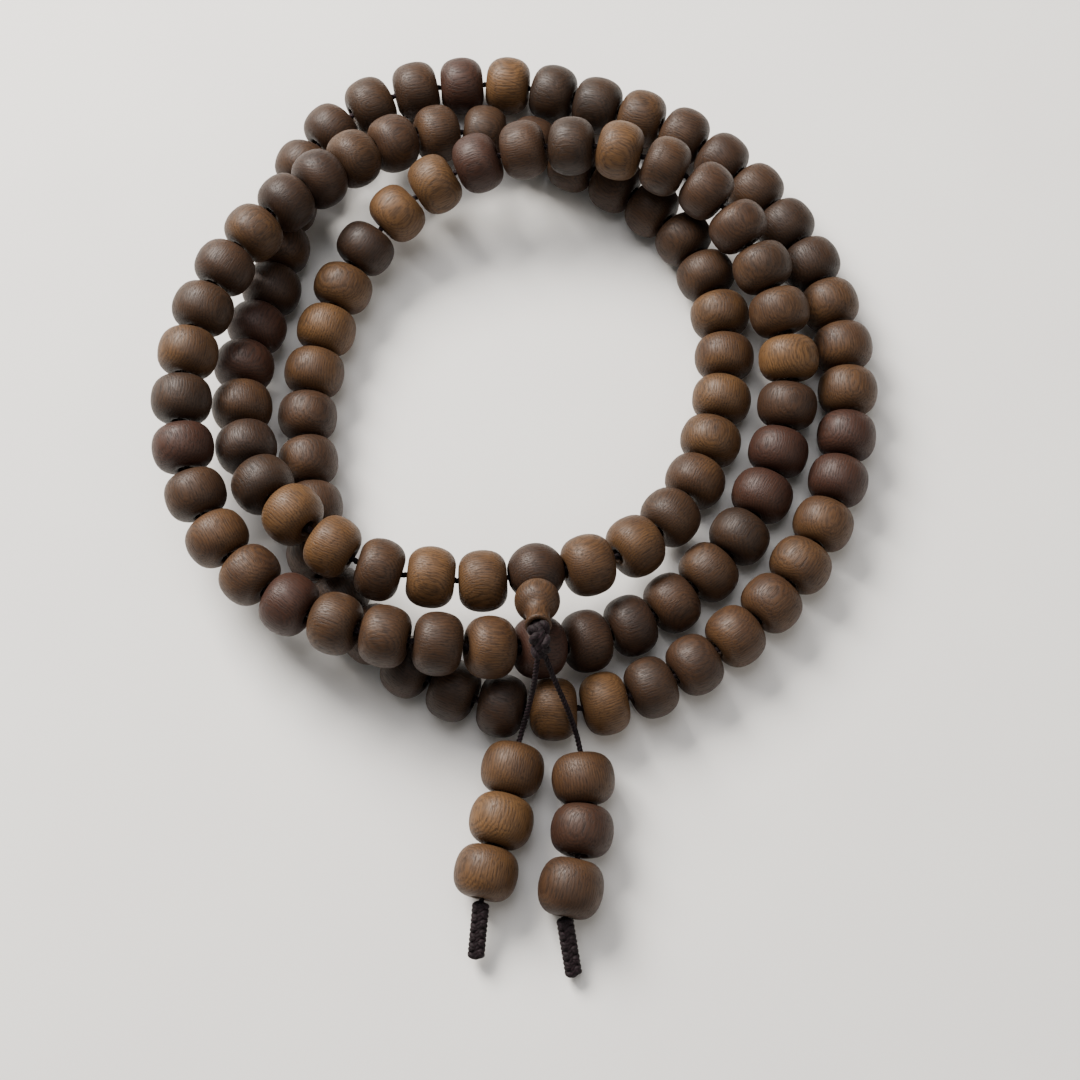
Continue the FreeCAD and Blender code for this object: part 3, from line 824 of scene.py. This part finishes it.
class MALA_OT_tower(bpy.types.Operator):
    """Turns the bottle-shaped bead that stands on the guru"""
    bl_idname = "mala.tower"
    bl_label = "Tower bead"

    def execute(self, context):
        corners = [Vector(v.co) for v in NODES["tower_bead"].data.vertices]
        heights = [(corner - GURU).dot(TOWER_AXIS) for corner in corners]
        base, height = min(heights), max(heights) - min(heights)
        bore = wood_settings().bore_diameter / 2
        # The bulb, then the waisted neck that flares to a small rolled lip.
        outline = [(bore, 0.14 * MM), (bore + 0.14 * MM, 0.0), (1.28 * MM, 0.0)]
        outline += [(1.5 * MM, 0.12 * MM)]
        outline += arc((0.22 * MM, 2.35 * MM), 2.6 * MM, -52, 47, 16)
        outline += [(radius * MM, z * MM) for radius, z in TOWER_NECK]
        lip = 0.3 * MM
        outline += arc((1.36 * MM, height - lip), lip, -10, 90, 6)
        outline += [(bore + 0.1 * MM, height - 0.03 * MM), (bore, height - 0.16 * MM), (bore, height / 2)]
        mesh = lathe_mesh("tower_turned", outline, 48)
        mesh.transform(Matrix.Translation(GURU + TOWER_AXIS * base) @ frame_along(TOWER_AXIS))
        piece = link(bpy.data.objects.new("tower_turned", mesh))
        finish_wood(piece, 0.5, 0.77, 0.1)
        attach(piece, "tower")
        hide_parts("tower_bead")
        return {"FINISHED"}


class MALA_OT_string(bpy.types.Operator):
    """Lays up the main cord through the beads and the guru, and its two ends through the tower"""
    bl_idname = "mala.string"
    bl_label = "Main cord"

    def execute(self, context):
        settings = cord_settings()
        material = material_named("waxed_braided_cord", waxed_cord, settings)
        points = [GURU + STRING_AT_GURU * STRING_END_GAP]
        for number in range(1, BEAD_COUNT + 1):
            _, centre, bore = BEADS[number]
            points += [centre - bore * STRING_IN_BEAD, centre + bore * STRING_IN_BEAD]
        points.append(GURU - STRING_AT_GURU * STRING_END_GAP)
        piece = twisted("main_cord", nurbs_curve("main_cord", points), material,
                        settings.string_diameter / 2, settings.lay_length, 0.42 * MM)
        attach(piece, "strand")
        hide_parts("main_string")

        across = TOWER_AXIS.cross(Vector((0, 0, 1))).normalized()
        ends = []
        for side in (-1, 1):
            beside = across * side * PENDANT_CORD_OFFSET
            start, end = [GURU + TOWER_AXIS * distance + beside for distance in PENDANT_CORD_RUN]
            line = nurbs_curve("pendant_end", spread_points(start, end, 5))
            ends.append(twisted("pendant_end_%d" % side, line, material,
                                settings.string_diameter / 2 * 0.95, settings.lay_length, 0.3 * MM))
        pair = joined("pendant_cord_ends", ends)
        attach(pair, "pendant")
        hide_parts("pendant_cords")
        return {"FINISHED"}


class MALA_OT_knots(bpy.types.Operator):
    """Ties the knot above the tower bead"""
    bl_idname = "mala.knots"
    bl_label = "Neck knot"

    def execute(self, context):
        settings = cord_settings()
        material = material_named("waxed_braided_cord", waxed_cord, settings)
        parting = sum((Vector(TAIL_ROUTES[side][0]) for side in SIDES), Vector()) / 2
        spine = [GURU + TOWER_AXIS * NECK_KNOT_START]
        spine += [Vector(place) * MM for place in NECK_KNOT_BENDS]
        spine.append(parting * MM)
        piece = tie("neck_knot_tied", spine, 0.95 * MM, 0.62 * MM, 3, 0.5 * MM, material,
                    core=0.8 * MM, narrowing=0.25)
        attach(piece, "pendant")
        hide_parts("neck_knot")
        return {"FINISHED"}


def tie(name, spine, width, depth, crossings, radius, material, core, narrowing=0.0):
    """A knot of cords woven from side to side along a spine, over a core that closes the gaps."""
    parts = []
    for number, points in enumerate(braid_curves(spine, width, depth, crossings, narrowing)):
        parts.append(twisted("%s_%d" % (name, number), nurbs_curve(name, points), material,
                             radius, 1.6 * MM, 0.16 * MM, 6.0, 0.035))
    filling = nurbs_curve(name + "_core", spine)
    parts.append(twisted(name + "_core", filling, material, core, 3.0 * MM, 0.3 * MM, 6.0, 0.05))
    return joined(name, parts)


class MALA_OT_tails(bpy.types.Operator):
    """Lays the two tails from the knot through their counter beads to the wrapped ends"""
    bl_idname = "mala.tails"
    bl_label = "Tails"

    def execute(self, context):
        settings = cord_settings()
        material = material_named("waxed_braided_cord", waxed_cord, settings)
        for side in SIDES:
            route = [Vector(point) * MM for point in TAIL_ROUTES[side]]
            path = curve_points(nurbs_curve("tail_path", route))
            piece = twisted("tail_cord_%s_laid" % side, nurbs_curve("tail", route), material,
                            settings.tail_diameter / 2, settings.lay_length * 0.8, 0.2 * MM)
            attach(piece, "tail_" + side)
            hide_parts("tail_cord_" + side)
            knot = self.end_knot(side, route, material)
            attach(knot, "tail_" + side)
            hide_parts("end_knot_" + side)
        return {"FINISHED"}

    def end_knot(self, side, route, material):
        """The cord's end, whipped with many close turns that cross from side to side"""
        corners = [Vector(v.co) for v in NODES["end_knot_" + side].data.vertices]
        start = route[-1]
        far = max(corners, key=lambda corner: (corner - start).length)
        about_far = [corner for corner in corners if (corner - far).length < 1.3 * MM]
        middle = sum(about_far, Vector()) / len(about_far)
        along = (middle - start).normalized()
        reach = max((corner - start).dot(along) for corner in corners)
        spine = spread_points(start - along * 0.1 * MM, start + along * (reach - 0.45 * MM), 7)
        return tie("end_knot_%s_tied" % side, spine, 0.68 * MM, 0.5 * MM, 11, 0.4 * MM, material,
                   core=0.8 * MM)


class MALA_OT_stage(bpy.types.Operator):
    """Sets the floor, the camera and soft studio light"""
    bl_idname = "mala.stage"
    bl_label = "Stage"

    def execute(self, context):
        scene = context.scene
        settings = scene.mala_stage
        lens = bpy.data.cameras.new("camera")
        lens.sensor_width = 36.0
        lens.lens = settings.focal_length
        lens.clip_start = 0.01
        camera = link(bpy.data.objects.new("camera", lens))
        camera.location = CAMERA_PLACE
        camera.rotation_euler = (CAMERA_AIM - CAMERA_PLACE).to_track_quat("-Z", "Y").to_euler()
        scene.camera = camera

        material, tree, shader = new_material("matte_pale_floor")
        speck = noise(tree, add(tree, "ShaderNodeTexCoord").outputs["Object"], 40.0, 3.0)
        light, dim = [settings_hex([c * share for c in settings.floor_colour]) for share in (1.0, 0.985)]
        speckled = ramp(tree, speck, ((0.3, dim), (0.7, light)))
        tree.links.new(speckled, shader.inputs["Base Color"])
        shader.inputs["Roughness"].default_value = 0.85
        mesh = bpy.data.meshes.new("floor")
        corners = [(x * FLOOR_REACH, y * FLOOR_REACH, 0) for x, y in ((-1, -1), (1, -1), (1, 1), (-1, 1))]
        mesh.from_pydata(corners, [], [(0, 1, 2, 3)])
        floor = link(bpy.data.objects.new("floor", mesh))
        floor.data.materials.append(material)

        world = bpy.data.worlds.new("studio")
        world.use_nodes = True
        background = world.node_tree.nodes["Background"]
        background.inputs["Color"].default_value = linear("#f1f0ee")
        background.inputs["Strength"].default_value = 0.22
        scene.world = world
        aim = Vector((0, 0, 5)) * MM
        for name, place, size, power, colour in (
                ("window", (-0.30, 0.34, 0.40), 0.30, settings.window_power * 6.6, "#fffaf4"),
                ("fill", (0.42, -0.22, 0.38), 0.5, settings.window_power * 0.5, "#fff6ec"),
                ("top", (-0.05, 0.12, 0.62), 0.4, settings.window_power * 1.1, "#fdfcff")):
            lamp = bpy.data.lights.new(name, "AREA")
            lamp.size = size
            lamp.energy = power
            lamp.color = linear(colour)[:3]
            light = link(bpy.data.objects.new(name, lamp))
            light.location = place
            light.rotation_euler = (aim - light.location).to_track_quat("-Z", "Y").to_euler()
        return {"FINISHED"}


class MALA_PT_panel(bpy.types.Panel):
    """The mala's pieces, in the order in which they are made"""
    bl_idname = "MALA_PT_panel"
    bl_label = "Mala"
    bl_space_type = "VIEW_3D"
    bl_region_type = "UI"
    bl_category = "Mala"

    def draw(self, context):
        for group in (context.scene.mala_beads, context.scene.mala_cord, context.scene.mala_stage):
            box = self.layout.box()
            for name in group.__annotations__:
                box.prop(group, name)
        for operator in OPERATORS:
            self.layout.operator(operator.bl_idname)


OPERATORS = (MALA_OT_stage, MALA_OT_beads, MALA_OT_guru, MALA_OT_tower, MALA_OT_string, MALA_OT_knots,
             MALA_OT_tails)
CLASSES = (BeadSettings, CordSettings, StageSettings, *OPERATORS, MALA_PT_panel)


def register():
    for cls in CLASSES:
        bpy.utils.register_class(cls)
    bpy.types.Scene.mala_beads = PointerProperty(type=BeadSettings)
    bpy.types.Scene.mala_cord = PointerProperty(type=CordSettings)
    bpy.types.Scene.mala_stage = PointerProperty(type=StageSettings)


def unregister():
    del bpy.types.Scene.mala_beads
    del bpy.types.Scene.mala_cord
    del bpy.types.Scene.mala_stage
    for cls in reversed(CLASSES):
        bpy.utils.unregister_class(cls)


def main():
    register()
    bpy.ops.mala.stage()
    bpy.ops.mala.beads()
    bpy.ops.mala.guru()
    bpy.ops.mala.tower()
    bpy.ops.mala.string()
    bpy.ops.mala.knots()
    bpy.ops.mala.tails()


if __name__ == "__main__":
    main()
